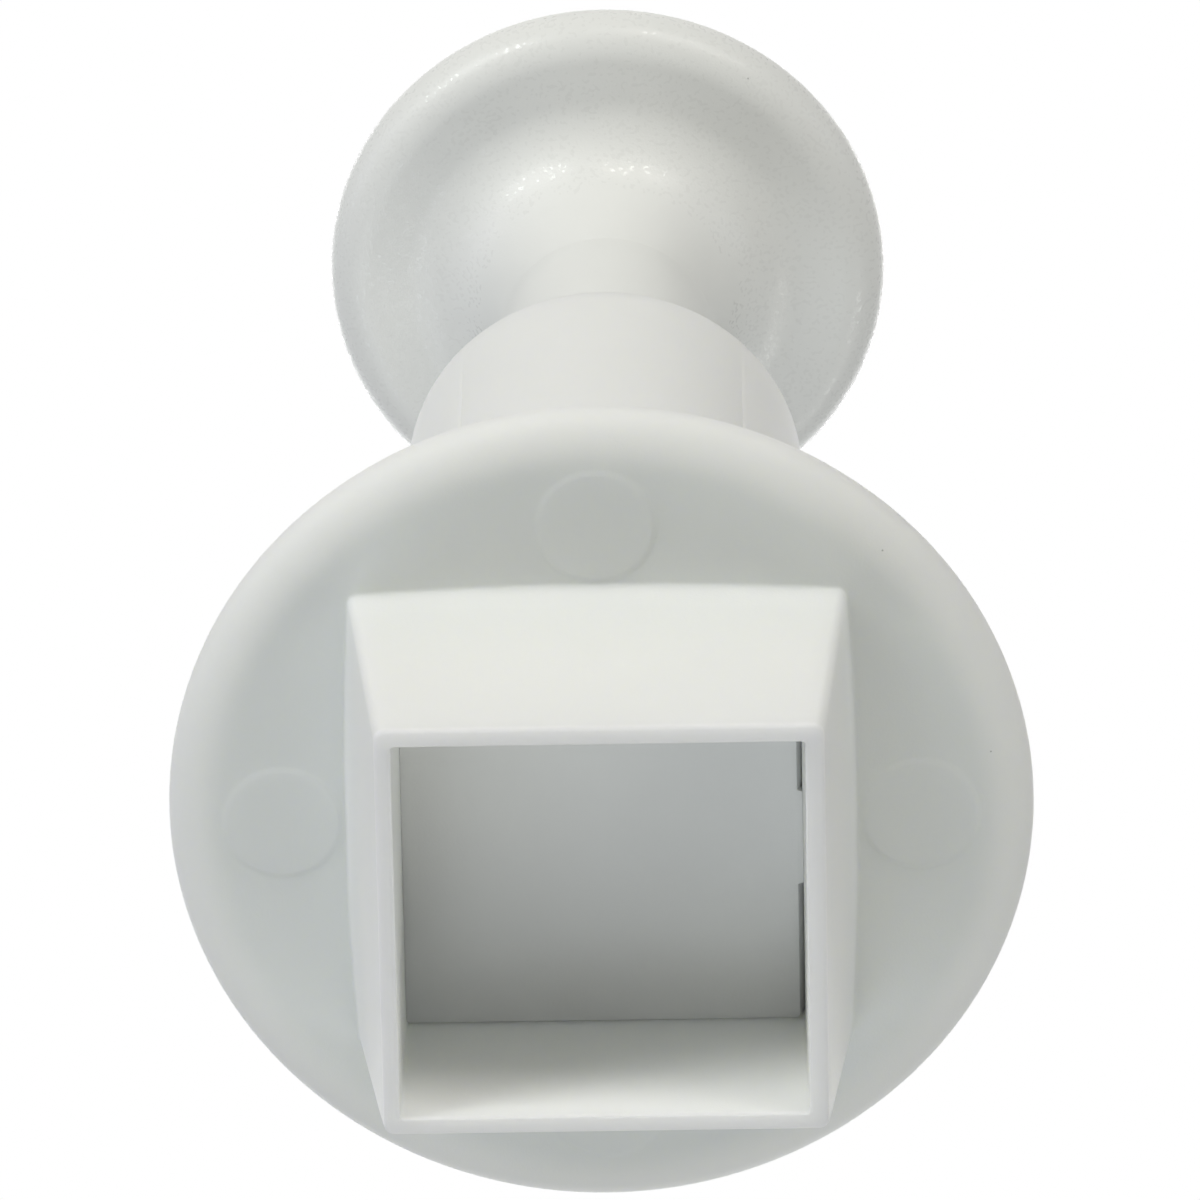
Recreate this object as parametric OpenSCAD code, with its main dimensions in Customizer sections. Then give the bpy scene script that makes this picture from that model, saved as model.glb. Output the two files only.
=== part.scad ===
// Square plunger cutter for sugar paste: a moulded body, an ejector plate, a stem, a knob and a spring.
// Millimetres, Z up. The cutting edge lies on z = 0, the knob is on top and the axis is the Z axis.

/* [Cutting frame] */
// Inside width of the square cut
cut_w = 15; // [13.5:0.5:16]
// Width of the flat land along the cutting edge
land_w = 0.64; // [0.4:0.02:0.8]
// Height of the wall from the cutting edge to the flange face
frame_h = 9.7; // [9.2:0.1:11]
// How far each wall's outside spreads from the edge to its foot
draft_w = 0.98; // [0.6:0.02:1.2]
// How far the middle of each wall's foot bows outward
foot_bow = 0.28; // [0.1:0.02:0.4]
// Radius of the frame's outer corners
corner_r = 0.4; // [0.2:0.05:0.8]

/* [Flange] */
// Diameter of the flange
flange_d = 32; // [31:0.5:36]
// Thickness of the flange
flange_t = 2; // [1.7:0.1:2.4]
// Width of the rounded edge on the flange's face
edge_w = 1.8; // [1.6:0.1:2.6]
// Radius of the flange's back edge
back_r = 0.7; // [0.4:0.1:0.9]
// Diameter of one mould-pin mark on the flange's face
mark_d = 4.2; // [2:0.1:4.4]

/* [Barrel] */
// Outer diameter at the barrel's open end
barrel_d = 15.3; // [14.4:0.1:17]
// Height of the barrel's open end above the cutting edge
barrel_top = 41.4; // [40:0.2:44]
// Thickness of the barrel's wall at its open end
barrel_wall = 1.3; // [0.9:0.1:1.6]
// Thickness of one guide rib in the barrel
rib_t = 1; // [0.8:0.1:1.6]
// Thickness of the web that seats the spring
web_t = 1.4; // [1:0.1:2]

/* [Plunger] */
// How far the plate sits back from the cutting edge at rest
plate_z = 7.8; // [7.4:0.1:8]
// Thickness of the ejector plate
plate_t = 1.5; // [1.2:0.1:1.6]
// Gap between the plate's guided edges and the frame
plate_gap = 0.12; // [0.1:0.02:0.2]
// How far the guide tab stands out from the plate's side
tab_h = 0.2; // [0.16:0.02:0.4]
// Width of the guide tab
tab_w = 3.75; // [2.5:0.25:5]
// Diameter of the neck
neck_d = 8.56; // [8.2:0.02:8.8]
// Diameter of the rod that carries the plate
rod_d = 4; // [3.2:0.1:4.4]
// How far the knob travels when pressed
travel = 8.5; // [7.5:0.1:9]
// Radial clearance of the rod and the neck in their guides
run_gap = 0.08; // [0.05:0.01:0.1]

/* [Knob] */
// Diameter of the knob
knob_d = 22.2; // [20:0.1:25]
// Height where the knob's flare starts
flare_z = 54.4; // [53:0.2:57]
// Height of the flare up to the knob's underside
flare_h = 5.4; // [4:0.1:7]
// Width of the flat ring between the flare and the rim
under_w = 1.4; // [0.6:0.1:2]
// Radius of the rim's rounded underside
rim_r = 1.65; // [1.4:0.05:2.2]
// Radius of the rim's top edge
rim_top_r = 1.1; // [0.8:0.05:1.4]
// Depth of the thumb dish in the knob's top
dish_h = 0.8; // [0.4:0.05:1.2]

/* [Return spring] */
// Diameter of the spring wire
wire_d = 0.7; // [0.5:0.05:0.8]
// Turns of the spring between its two end turns
turns = 5; // [4:1:6]

/* [Hidden] */
$fn = 96;

// Overlap that joins two shapes of one solid, and how far a cut runs past a face
eps = 0.2;
// Steps along one rounded edge, one frame corner and one bowed wall
ROUND_STEPS = 6;
CORNER_STEPS = 4;
WALL_STEPS = 8;
// Sides and rings of the spring's tube
WIRE_SIDES = 6;
TURN_RINGS = 8;

// Cutting frame
cut_r = cut_w / 2;
frame_join_z = frame_h + 0.5;
foot_r = cut_r + land_w + draft_w + foot_bow;

// Flange and barrel
flange_r = flange_d / 2;
flange_top = frame_h + flange_t;
edge_h = flange_t - back_r - 0.1;
roof_t = 1.4;
cavity_top = flange_top - roof_t;
barrel_r = barrel_d / 2;
barrel_foot_r = barrel_r + 0.2;
foot_fillet = 0.8;
lip_r = 0.35;
bore_r = barrel_r - barrel_wall;
guide_r = neck_d / 2 + run_gap;
mark_ring_r = foot_r + 0.3 + mark_d / 2;
mark_h = 0.05;
mouth_chamfer = 0.5;

// Plate, hub and web: the hub rises from the plate and stops under the web
rest_gap = 0.1;
hub_h = 3.6;
hub_r = rod_d / 2 + 2;
plate_top = plate_z + plate_t;
hub_top = plate_top + hub_h;
web_z = hub_top + rest_gap;
web_top = web_z + web_t;
well_r = hub_r + 0.5;
socket_z = plate_z + plate_t / 2;

// Stem: the shoulder rests on the spring, which keeps this much length when fully pressed
rod_r = rod_d / 2;
neck_r = neck_d / 2;
pressed_l = (turns + 3) * wire_d + 2;
shoulder_z = web_top + pressed_l + travel;
stem_bore_r = neck_r - 1.7;
stem_floor = 1.8;
spigot_l = 7;

// Knob: the flare fills what the rim and the flat ring leave between the neck and the knob's edge
knob_r = knob_d / 2;
flare_w = knob_r - rim_r - under_w - neck_r;
rim_z = flare_z + flare_h + rim_r;
knob_top = rim_z + rim_top_r;
dish_r = knob_r - rim_top_r - 1.8;
dish_ball_r = (dish_r * dish_r + dish_h * dish_h) / (2 * dish_h);

// Spring: the end turns lie close, and the turns between share the rest of the length
seat_gap = 0.02;
coil_r = (rod_r + guide_r) / 2 + 0.35;
end_pitch = wire_d + 0.46;
spring_low = web_top + wire_d / 2 + seat_gap;
spring_high = shoulder_z - wire_d / 2 - seat_gap;
mid_pitch = (spring_high - spring_low - 2 * end_pitch) / turns;

WHITE = "#e9eae6";
PLATE_WHITE = "#dfe1dd";
STEEL = "#b9bcc0";

// Points along a stretch of an ellipse: centre, radii, first and last angle
function arc(c, r, a0, a1) = [
    for (i = [0:ROUND_STEPS])
        let (a = a0 + (a1 - a0) * i / ROUND_STEPS)
            [c.x + r.x * cos(a), c.y + r.y * sin(a)]
];

function turned(p, a) = [p.x * cos(a) - p.y * sin(a), p.x * sin(a) + p.y * cos(a)];

// One wall of the frame's outline and the corner after it, for the side that faces +X
function wall_points(half, bow) =
    let (flat = half - corner_r)
    concat(
        [for (i = [0:WALL_STEPS])
            let (t = 2 * i / WALL_STEPS - 1)
                [half + bow * (1 - t * t), flat * t]],
        [for (i = [1:CORNER_STEPS - 1])
            let (a = 90 * i / CORNER_STEPS)
                [flat + corner_r * cos(a), flat + corner_r * sin(a)]]);

// The frame's whole outer outline at height z
function frame_ring(z) =
    let (share = z / frame_h, wall = wall_points(cut_r + land_w + draft_w * share, foot_bow * share))
    [for (side = [0:3], p = wall) let (q = turned(p, 90 * side)) [q.x, q.y, z]];

// Triangles between two rings of n points, the second ring stored right after the first
function band_faces(n, first) = [
    for (i = [0:n - 1])
        let (a = first + i, b = first + (i + 1) % n)
            each [[a, a + n, b], [b, a + n, b + n]]
];

// Triangles that close a ring of n points around a centre point
function cap_faces(n, first, centre) = [
    for (i = [0:n - 1]) [first + i, first + (i + 1) % n, centre]
];

function flipped(faces) = [for (f = faces) [f[2], f[1], f[0]]];

module frame_block() {
    low = frame_ring(0);
    n = len(low);
    polyhedron(
        points = concat(low, frame_ring(frame_join_z), [[0, 0, 0], [0, 0, frame_join_z]]),
        faces = concat(
            cap_faces(n, 0, 2 * n),
            band_faces(n, 0),
            flipped(cap_faces(n, n, 2 * n + 1))));
}

// Half section of the flange and the barrel, before the inside is cut
function shell_section() = concat(
    [[0, frame_h]],
    arc([flange_r - edge_w, frame_h + edge_h], [edge_w, edge_h], -90, 0),
    arc([flange_r - back_r, flange_top - back_r], [back_r, back_r], 0, 90),
    arc([barrel_foot_r + foot_fillet, flange_top + foot_fillet], [foot_fillet, foot_fillet], 270, 180),
    arc([barrel_r - lip_r, barrel_top - lip_r], [lip_r, lip_r], 0, 90),
    [[0, barrel_top]]);

module barrel_inside() {
    translate([0, 0, web_top])
        cylinder(r = bore_r, h = barrel_top - web_top + eps);
    translate([0, 0, barrel_top - mouth_chamfer])
        cylinder(r1 = bore_r, r2 = bore_r + mouth_chamfer * 1.2, h = mouth_chamfer * 1.2);
    translate([0, 0, web_z - eps])
        cylinder(r = rod_r + run_gap, h = web_t + 2 * eps);
    translate([0, 0, cavity_top - eps])
        cylinder(r = well_r, h = web_z - cavity_top + eps);
}

// Raised round marks where the mould's pins have been
module pin_marks() {
    for (side = [0:3])
        rotate([0, 0, 90 * side])
            translate([mark_ring_r, 0, frame_h - mark_h])
                cylinder(d = mark_d, h = mark_h + eps, $fn = 48);
}

module guide_ribs() {
    difference() {
        for (side = [0:3])
            rotate([0, 0, 45 + 90 * side])
                translate([neck_r, -rib_t / 2, web_top - eps])
                    cube([bore_r - neck_r + eps, rib_t, barrel_top - web_top - mouth_chamfer]);
        translate([0, 0, web_top - 2 * eps])
            cylinder(r = guide_r, h = barrel_top - web_top + 4 * eps);
    }
}

module cutter_body() {
    color(WHITE) {
        difference() {
            union() {
                frame_block();
                rotate_extrude()
                    polygon(shell_section());
                pin_marks();
            }
            translate([-cut_r, -cut_r, -eps])
                cube([cut_w, cut_w, cavity_top + eps]);
            barrel_inside();
        }
        guide_ribs();
    }
}

module ejector_plate() {
    full_w = cut_w - 2 * plate_gap;
    color(PLATE_WHITE)
        difference() {
            union() {
                translate([-full_w / 2, -full_w / 2, plate_z])
                    cube([full_w - tab_h, full_w, plate_t]);
                translate([0, -tab_w / 2, plate_z])
                    cube([full_w / 2, tab_w, plate_t]);
                translate([0, 0, plate_top - eps])
                    cylinder(r = hub_r, h = hub_h + eps);
            }
            translate([0, 0, socket_z])
                cylinder(r = rod_r, h = hub_top - socket_z + eps);
        }
}

module stem() {
    color(WHITE)
        difference() {
            union() {
                translate([0, 0, socket_z])
                    cylinder(r = rod_r, h = shoulder_z - socket_z + eps);
                translate([0, 0, shoulder_z])
                    cylinder(r = neck_r, h = flare_z - shoulder_z);
            }
            translate([0, 0, shoulder_z + stem_floor])
                cylinder(r = stem_bore_r, h = flare_z - shoulder_z);
        }
}

// Half section of the knob: a hollow flare, a flat ring and a full round rim
function knob_section() = concat(
    [[0, flare_z]],
    arc([neck_r + flare_w, flare_z], [flare_w, flare_h], 180, 90),
    arc([knob_r - rim_r, rim_z], [rim_r, rim_r], -90, 0),
    arc([knob_r - rim_top_r, rim_z + 0.05], [rim_top_r, rim_top_r - 0.05], 0, 90),
    [[0, knob_top]]);

module knob() {
    color(WHITE)
        difference() {
            union() {
                rotate_extrude()
                    polygon(knob_section());
                translate([0, 0, flare_z - spigot_l])
                    cylinder(r = stem_bore_r, h = spigot_l + eps);
            }
            translate([0, 0, knob_top - dish_h + dish_ball_r])
                sphere(r = dish_ball_r, $fn = 240);
        }
}

// Height of the wire's centre after a number of turns
function coil_z(t) =
    t < 1 ? spring_low + end_pitch * t
    : t < turns + 1 ? spring_low + end_pitch + mid_pitch * (t - 1)
    : spring_low + end_pitch * (t - turns) + mid_pitch * turns;

// Centre line of the wire: turns with a straight end of one wire diameter at each side
last_ring = (turns + 2) * TURN_RINGS;
function coil_point(i) =
    let (a = 360 * i / TURN_RINGS)
        [coil_r * cos(a), coil_r * sin(a), coil_z(i / TURN_RINGS)];
coil_line = concat(
    [[coil_r, -wire_d, spring_low]],
    [for (i = [0:last_ring]) coil_point(i)],
    [[coil_r, wire_d, spring_high]]);

function unit(v) = v / norm(v);

// One ring of the wire's tube, square to the line there
function wire_ring(i) =
    let (
        last = len(coil_line) - 1,
        p = coil_line[i],
        along = unit(coil_line[min(i + 1, last)] - coil_line[max(i - 1, 0)]),
        side = unit(cross(along, [0, 0, 1])),
        up = cross(side, along))
    [for (k = [0:WIRE_SIDES - 1])
        let (a = 360 * k / WIRE_SIDES)
            p + wire_d / 2 * (cos(a) * side - sin(a) * up)];

// Least gap between stretches of the wire that are more than half a turn apart
wire_gap = min([
    for (i = [0:len(coil_line) - 1], j = [i + TURN_RINGS / 2:1:len(coil_line) - 1])
        norm(coil_line[i] - coil_line[j])]) - wire_d;
echo(spring_least_gap_mm = wire_gap);

module return_spring() {
    rings = len(coil_line);
    n = rings * WIRE_SIDES;
    wire_points = [for (i = [0:rings - 1]) each wire_ring(i)];
    color(STEEL)
        polyhedron(
            points = concat(wire_points, [coil_line[0], coil_line[rings - 1]]),
            faces = concat(
                cap_faces(WIRE_SIDES, 0, n),
                [for (i = [0:rings - 2]) each band_faces(WIRE_SIDES, i * WIRE_SIDES)],
                flipped(cap_faces(WIRE_SIDES, n - WIRE_SIDES, n + 1))));
}

cutter_body();
ejector_plate();
stem();
knob();
return_spring();
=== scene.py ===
"""A square plunger cutter: its white mouldings, its return spring and a plain studio, built as an add-on."""

import math

import bmesh
import bpy
import numpy as np
from bpy.props import FloatProperty, FloatVectorProperty, IntProperty, PointerProperty
from mathutils import Matrix, Vector


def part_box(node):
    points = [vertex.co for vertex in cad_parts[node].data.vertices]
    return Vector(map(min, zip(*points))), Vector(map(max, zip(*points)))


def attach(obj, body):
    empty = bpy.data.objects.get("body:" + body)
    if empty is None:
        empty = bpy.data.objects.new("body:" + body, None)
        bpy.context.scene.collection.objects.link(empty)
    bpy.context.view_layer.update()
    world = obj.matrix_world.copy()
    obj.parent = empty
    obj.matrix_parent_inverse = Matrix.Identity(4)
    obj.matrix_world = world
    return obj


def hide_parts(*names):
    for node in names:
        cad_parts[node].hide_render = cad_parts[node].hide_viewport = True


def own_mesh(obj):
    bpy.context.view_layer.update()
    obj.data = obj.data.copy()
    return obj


bl_info = {
    "name": "Square plunger cutter",
    "version": (1, 0, 0),
    "blender": (4, 5, 0),
    "location": "View3D > Sidebar > Cutter",
    "description": "Builds the mouldings, the return spring and the studio of a square plunger cutter",
    "category": "Object",
}

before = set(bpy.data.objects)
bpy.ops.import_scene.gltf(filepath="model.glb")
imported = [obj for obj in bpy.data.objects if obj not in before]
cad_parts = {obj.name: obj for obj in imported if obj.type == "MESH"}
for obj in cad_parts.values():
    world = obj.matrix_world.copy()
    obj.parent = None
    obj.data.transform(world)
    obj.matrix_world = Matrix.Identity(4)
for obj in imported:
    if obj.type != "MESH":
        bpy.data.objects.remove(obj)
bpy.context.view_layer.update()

MM = 0.001
QUARTERS = 4

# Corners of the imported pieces, which the shapes below keep to
BODY_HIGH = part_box("cutter_body")[1]
PLATE_LOW, PLATE_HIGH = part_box("ejector_plate")
STEM_LOW, STEM_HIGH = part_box("stem")
KNOB_LOW, KNOB_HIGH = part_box("knob")
SPRING_LOW, SPRING_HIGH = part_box("return_spring")


# Sizes and colours that a user can change


def length(name, description, metres):
    """A length property whose default is given in metres."""
    return FloatProperty(
        name=name, description=description, default=metres, min=0.0,
        unit="LENGTH", subtype="DISTANCE", precision=5,
    )


def angle(name, description, degrees):
    """An angle property whose default is given in degrees."""
    return FloatProperty(
        name=name, description=description, default=math.radians(degrees),
        unit="ROTATION", subtype="ANGLE",
    )


def share(name, description, default):
    """A plain number from 0 to 1."""
    return FloatProperty(
        name=name, description=description, default=default, min=0.0, max=1.0, subtype="FACTOR",
    )


def colour(name, description, default):
    """A linear colour property."""
    return FloatVectorProperty(
        name=name, description=description, default=default, size=3, min=0.0, max=1.0, subtype="COLOR",
    )


def power(name, description, watts):
    """The power of one lamp."""
    return FloatProperty(
        name=name, description=description, default=watts, min=0.0, unit="POWER", subtype="POWER",
    )


class FrameSizes(bpy.types.PropertyGroup):
    """The square cutting frame."""

    cut_width: length("Cut width", "Inside width of the square cut", 15.0 * MM)
    land_width: length("Land width", "Width of the narrow land along the cutting edge", 0.65 * MM)
    land_rise: length("Land rise", "How far the land lies back from the bead on its inner edge", 0.035 * MM)
    height: length("Height", "Height of the wall from the cutting edge to the flange face", 9.7 * MM)
    draft: length("Draft", "How far each wall's outside spreads from the edge to its foot", 1.02 * MM)
    lean: length("Lean", "How far the frame's outer edge is set off towards +X", 0.1 * MM)
    pocket_lean: length("Pocket lean", "How far the square pocket is set off towards +X", 0.05 * MM)
    inner_draft: length("Inner draft", "How far each wall's inside closes in up to the roof", 0.145 * MM)
    bow: length("Bow", "How far the middle of each wall's foot bows outward", 0.28 * MM)
    outer_corner: length("Outer corner", "Radius of the frame's outer corners", 0.4 * MM)
    inner_corner: length("Inner corner", "Radius of the frame's inner corners", 0.12 * MM)
    edge_round: length("Edge round", "Radius of the land's outer edge", 0.14 * MM)
    foot_fillet: length("Foot fillet", "Radius where the wall meets the flange", 0.12 * MM)


class FlangeSizes(bpy.types.PropertyGroup):
    """The round flange with its mould-pin marks."""

    thickness: length("Thickness", "Thickness of the flange", 2.0 * MM)
    edge_width: length("Edge width", "Width of the rounded edge on the flange's face", 1.8 * MM)
    edge_height: length("Edge height", "Height of the rounded edge on the flange's face", 1.2 * MM)
    back_radius: length("Back radius", "Radius of the flange's back edge", 0.7 * MM)
    mark_diameter: length("Mark diameter", "Diameter of one mould-pin mark", 4.2 * MM)
    mark_place: length("Mark place", "Distance of each mark's centre from the axis", 11.8 * MM)
    mark_height: length("Mark height", "How far a mark stands out of the face", 0.06 * MM)
    mark_slope: length("Mark slope", "Width of the slope round a mark", 0.13 * MM)


class BarrelSizes(bpy.types.PropertyGroup):
    """The barrel behind the flange and what it holds inside."""

    foot_radius: length("Foot radius", "Outer radius at the flange", 7.85 * MM)
    top_radius: length("Top radius", "Outer radius at the open end", 7.65 * MM)
    foot_fillet: length("Foot fillet", "Radius where the barrel meets the flange", 0.8 * MM)
    lip_radius: length("Lip radius", "Radius of the open end's outer edge", 0.35 * MM)
    bore_radius: length("Bore radius", "Inside radius", 6.35 * MM)
    mouth_chamfer: length("Mouth chamfer", "Depth of the chamfer inside the open end", 0.5 * MM)
    guide_radius: length("Guide radius", "Radius between the four guide ribs", 4.36 * MM)
    web_top: length("Web top", "Height of the web that seats the spring", 14.4 * MM)
    web_thickness: length("Web thickness", "Thickness of that web", 1.4 * MM)
    hole_radius: length("Hole radius", "Radius of the rod's hole in the web", 2.08 * MM)
    well_radius: length("Well radius", "Radius of the well for the plate's hub", 4.5 * MM)
    roof: length("Roof", "Height of the roof of the square pocket", 10.3 * MM)
    crease_depth: length("Crease depth", "Depth of the four mould lines along the barrel", 0.06 * MM)


class PlungerSizes(bpy.types.PropertyGroup):
    """The ejector plate and the stem."""

    plate_thickness: length("Plate thickness", "Thickness of the ejector plate", 1.5 * MM)
    plate_gap: length("Plate gap", "Gap between the plate and the pocket's wall at rest", 0.005 * MM)
    plate_bevel: length("Plate bevel", "Radius of the plate's edges", 0.01 * MM)
    tab_height: length("Tab height", "How far the guide tab stands out from the plate's side", 0.2 * MM)
    tab_width: length("Tab width", "Width of the guide tab", 3.75 * MM)
    tab_slope: length("Tab slope", "Depth over which the plate's side slopes back beside the tab", 0.5 * MM)
    hub_radius: length("Hub radius", "Radius of the plate's hub", 4.0 * MM)
    rod_radius: length("Rod radius", "Radius of the rod that carries the plate", 2.0 * MM)
    shoulder: length("Shoulder", "Height of the shoulder that rests on the spring", 30.5 * MM)
    stem_bore: length("Stem bore", "Radius of the stem's bore", 2.58 * MM)
    stem_floor: length("Stem floor", "Thickness of the floor below the bore", 1.8 * MM)
    small_chamfer: length("Small chamfer", "Size of the stem's small chamfers", 0.15 * MM)
    joint_groove: length("Joint groove", "Depth of the line where the stem meets the knob", 0.004 * MM)


class KnobSizes(bpy.types.PropertyGroup):
    """The trumpet-shaped push knob."""

    rim_radius: length("Rim radius", "Radius of the rim's rounded underside", 1.65 * MM)
    under_width: length("Underside width", "Width of the flat ring between the flare and the rim", 1.4 * MM)
    flare_height: length("Flare height", "Height of the flare up to the knob's underside", 5.4 * MM)
    rim_top_radius: length("Rim top radius", "Radius of the rim's top edge", 1.1 * MM)
    dish_radius: length("Dish radius", "Radius of the thumb dish in the top", 8.2 * MM)
    dish_depth: length("Dish depth", "Depth of the thumb dish", 0.8 * MM)


class SpringSizes(bpy.types.PropertyGroup):
    """The return spring."""

    wire: length("Wire", "Diameter of the spring wire", 0.7 * MM)
    coil_radius: length("Coil radius", "Radius of the coil's centre line", 3.53 * MM)
    end_pitch: length("End pitch", "Rise of one end turn", 1.16 * MM)
    turns: IntProperty(name="Turns", description="Turns between the two end turns", default=5, min=2, max=12)


class Finishes(bpy.types.PropertyGroup):
    """Colours and surface detail of the mouldings and the wire."""

    white: colour("White", "Colour of the white moulding", (0.9, 0.906, 0.88))
    cloud: colour("Cloud", "Fainter white where the melt has flowed", (0.872, 0.88, 0.858))
    # The darker colour of the flange's face is painted shade, standing in for light the thin disc loses, not
    # a colour of the plastic
    painted_face_shade: colour("Thin white", "Colour of the flange's thin face", (0.83, 0.846, 0.832))
    # The paler colour of the cutting edge is painted light, standing in for light on the land, not a polish
    # of the plastic
    painted_edge_light: colour("Edge white", "Colour of the polished cutting edge", (0.985, 0.985, 0.965))
    plate_white: colour("Plate white", "Colour of the ejector plate", (0.88, 0.888, 0.876))
    speck: colour("Speck", "Colour of the few dust specks in the moulding", (0.23, 0.23, 0.22))
    steel: colour("Steel", "Colour of the spring wire", (0.56, 0.57, 0.58))
    satin: share("Satin", "Mean roughness of the plate, the stem and the knob", 0.42)
    matt: share("Matt", "Mean roughness of the moulded body", 0.66)
    glow: share("Glow", "Share of the light that goes into the plastic and comes out nearby", 0.9)
    glow_depth: length("Glow depth", "How far that light travels", 1.4 * MM)
    grain: length("Grain", "Size of the fine mould texture", 0.11 * MM)
    grain_height: length("Grain height", "Height of the fine mould texture", 0.006 * MM)
    spark_size: length("Spark size", "Distance between the small glossy spots", 0.17 * MM)
    spark_limit: share("Spark limit", "Level of the texture above which a spot is glossy", 0.79)
    sparkle: share("Sparkle", "How much smoother a glossy spot is", 0.3)


class StageSettings(bpy.types.PropertyGroup):
    """The camera, the lamps and the floor."""

    tilt: angle("Tilt", "Angle between the cutter's axis and the camera's line of sight", 24.45)
    swing: angle("Swing", "Turn of the camera about the cutter's axis", 1.69)
    roll: angle("Roll", "Turn of the camera about its line of sight", 0.68)
    distance: length("Distance", "Distance of the camera from the cutting edge", 525.0 * MM)
    aim: length("Aim", "How far the aim lies from the cutting edge towards the knob", 12.065 * MM)
    lens: FloatProperty(
        name="Lens", description="Focal length in millimetres", default=433.5, min=1.0,
        subtype="DISTANCE_CAMERA",
    )
    key_left: power("Key, left", "Power of the main lamp, on the left before the cutter", 6.46)
    key_right: power("Key, right", "Power of the second lamp, on the right before the cutter", 5.98)
    side_left: power("Side, left", "Power of the lamp on the left", 1.1)
    side_right: power("Side, right", "Power of the lamp on the right", 1.1)
    table_left: power("Table, left", "Power of the light that comes off a table on the left", 1.57)
    table_right: power("Table, right", "Power of the light that comes off a table on the right", 2.07)
    front: power("Front", "Power of the small lamp before the cutting edge", 0.89)
    overhead: power("Overhead", "Power of the lamp above and behind, which lights the floor", 4.2)
    ambient: share("Ambient", "Strength of the light from all around", 0.11)
    floor: colour("Floor", "Colour of the floor", (0.92, 0.92, 0.91))
    floor_lift: share("Floor lift", "How much paler the floor is where it is seen", 0.45)


class CutterSettings(bpy.types.PropertyGroup):
    """All settings of the cutter."""

    frame: PointerProperty(type=FrameSizes, name="Frame", description="Cutting frame")
    flange: PointerProperty(type=FlangeSizes, name="Flange", description="Flange")
    barrel: PointerProperty(type=BarrelSizes, name="Barrel", description="Barrel")
    plunger: PointerProperty(type=PlungerSizes, name="Plunger", description="Ejector plate and stem")
    knob: PointerProperty(type=KnobSizes, name="Knob", description="Push knob")
    spring: PointerProperty(type=SpringSizes, name="Spring", description="Return spring")
    finish: PointerProperty(type=Finishes, name="Finish", description="Colours and surface detail")
    stage: PointerProperty(type=StageSettings, name="Stage", description="Camera, lamps and floor")


# Meshes from rings of points


def arc(centre, radii, first, last, steps):
    """Radius and height along a stretch of an ellipse, with its angles in degrees from the outward side."""
    turns = np.radians(np.linspace(first, last, steps + 1))
    return [(centre[0] + radii[0] * math.cos(a), centre[1] + radii[1] * math.sin(a)) for a in turns]


def closed_mesh(name, rings, loop=False):
    """An object whose rings of equal count join by quads.

    A loop's last ring joins its first, and otherwise fans close the ends.
    """
    count = len(rings[0])
    points = np.concatenate(rings).tolist()
    here = np.arange(count)
    after = (here + 1) % count
    faces = []
    for k in range(len(rings) if loop else len(rings) - 1):
        low = k * count
        high = (k + 1) % len(rings) * count
        faces += np.stack([low + here, low + after, high + after, high + here], axis=1).tolist()
    if not loop:
        for low, ring in ((0, rings[0]), ((len(rings) - 1) * count, rings[-1])):
            centre = len(points)
            points.append(np.mean(ring, axis=0).tolist())
            faces += [(low + i, low + (i + 1) % count, centre) for i in range(count)]
    return finished_object(name, points, faces)


def finished_object(name, points, faces, sharp_angle=35.0):
    """A smooth-shaded object with outward normals and sharp edges where the surface turns quickly."""
    mesh = bpy.data.meshes.new(name)
    mesh.from_pydata(points, [], faces)
    work = bmesh.new()
    work.from_mesh(mesh)
    bmesh.ops.recalc_face_normals(work, faces=work.faces)
    work.to_mesh(mesh)
    work.free()
    mesh.shade_smooth()
    mesh.set_sharp_from_angle(angle=math.radians(sharp_angle))
    piece = bpy.data.objects.new(name, mesh)
    bpy.context.scene.collection.objects.link(piece)
    return piece


def turned_piece(name, profile, segments):
    """A solid of revolution from radius and height along its outline, which starts and ends near the axis."""
    turns = np.linspace(0.0, 2.0 * math.pi, segments, endpoint=False)
    rings = [
        np.stack([r * np.cos(turns), r * np.sin(turns), np.full(segments, z)], axis=1) for r, z in profile
    ]
    return closed_mesh(name, rings)


class SquareTurn:
    """Places round the axis that all rings of a piece share, so that a square ring can join a round one."""

    def __init__(self, half_side, corner_steps):
        side = np.concatenate([-half_side[:0:-1], half_side])
        corner = np.arange(1, corner_steps) / corner_steps
        edge = half_side[-1]
        slope = np.tan(np.radians(side)) / math.tan(math.radians(edge))
        self.along = np.concatenate([slope, np.ones(len(corner))])
        self.bend = np.concatenate([np.zeros(len(side)), corner * math.pi / 2])
        quarter = np.concatenate([side, edge + corner * (90.0 - 2.0 * edge)])
        self.degrees = np.concatenate([quarter + 90.0 * q for q in range(QUARTERS)])
        self.radians = np.radians(self.degrees)

    def square(self, half, corner, bow, z, lean=0.0):
        """A square ring with round corners, whose sides bow outward, set off towards +X by its lean."""
        flat = half - corner
        on_side = self.bend == 0.0
        x = np.where(on_side, half + bow * (1.0 - self.along**2), flat + corner * np.cos(self.bend))
        y = np.where(on_side, flat * self.along, flat + corner * np.sin(self.bend))
        rings = []
        for q in range(QUARTERS):
            c, s = round(math.cos(q * math.pi / 2)), round(math.sin(q * math.pi / 2))
            rings.append(np.stack([c * x - s * y + lean, s * x + c * y, np.full(len(x), z)], axis=1))
        return np.concatenate(rings)

    def circle(self, radius, z):
        """A round ring. The radius is one number or one for each place."""
        x, y = radius * np.cos(self.radians), radius * np.sin(self.radians)
        return np.stack([x, y, np.full(len(x), z)], axis=1)


def smooth_step(low, high, value):
    """0 below low, 1 above high and a smooth rise between them."""
    t = np.clip((value - low) / (high - low), 0.0, 1.0)
    return t * t * (3.0 - 2.0 * t)


def stand_in(piece, material, body, node):
    """The piece gets its material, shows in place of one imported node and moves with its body."""
    piece.data.materials.append(material)
    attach(piece, body)
    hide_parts(node)


# The moulded body

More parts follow.
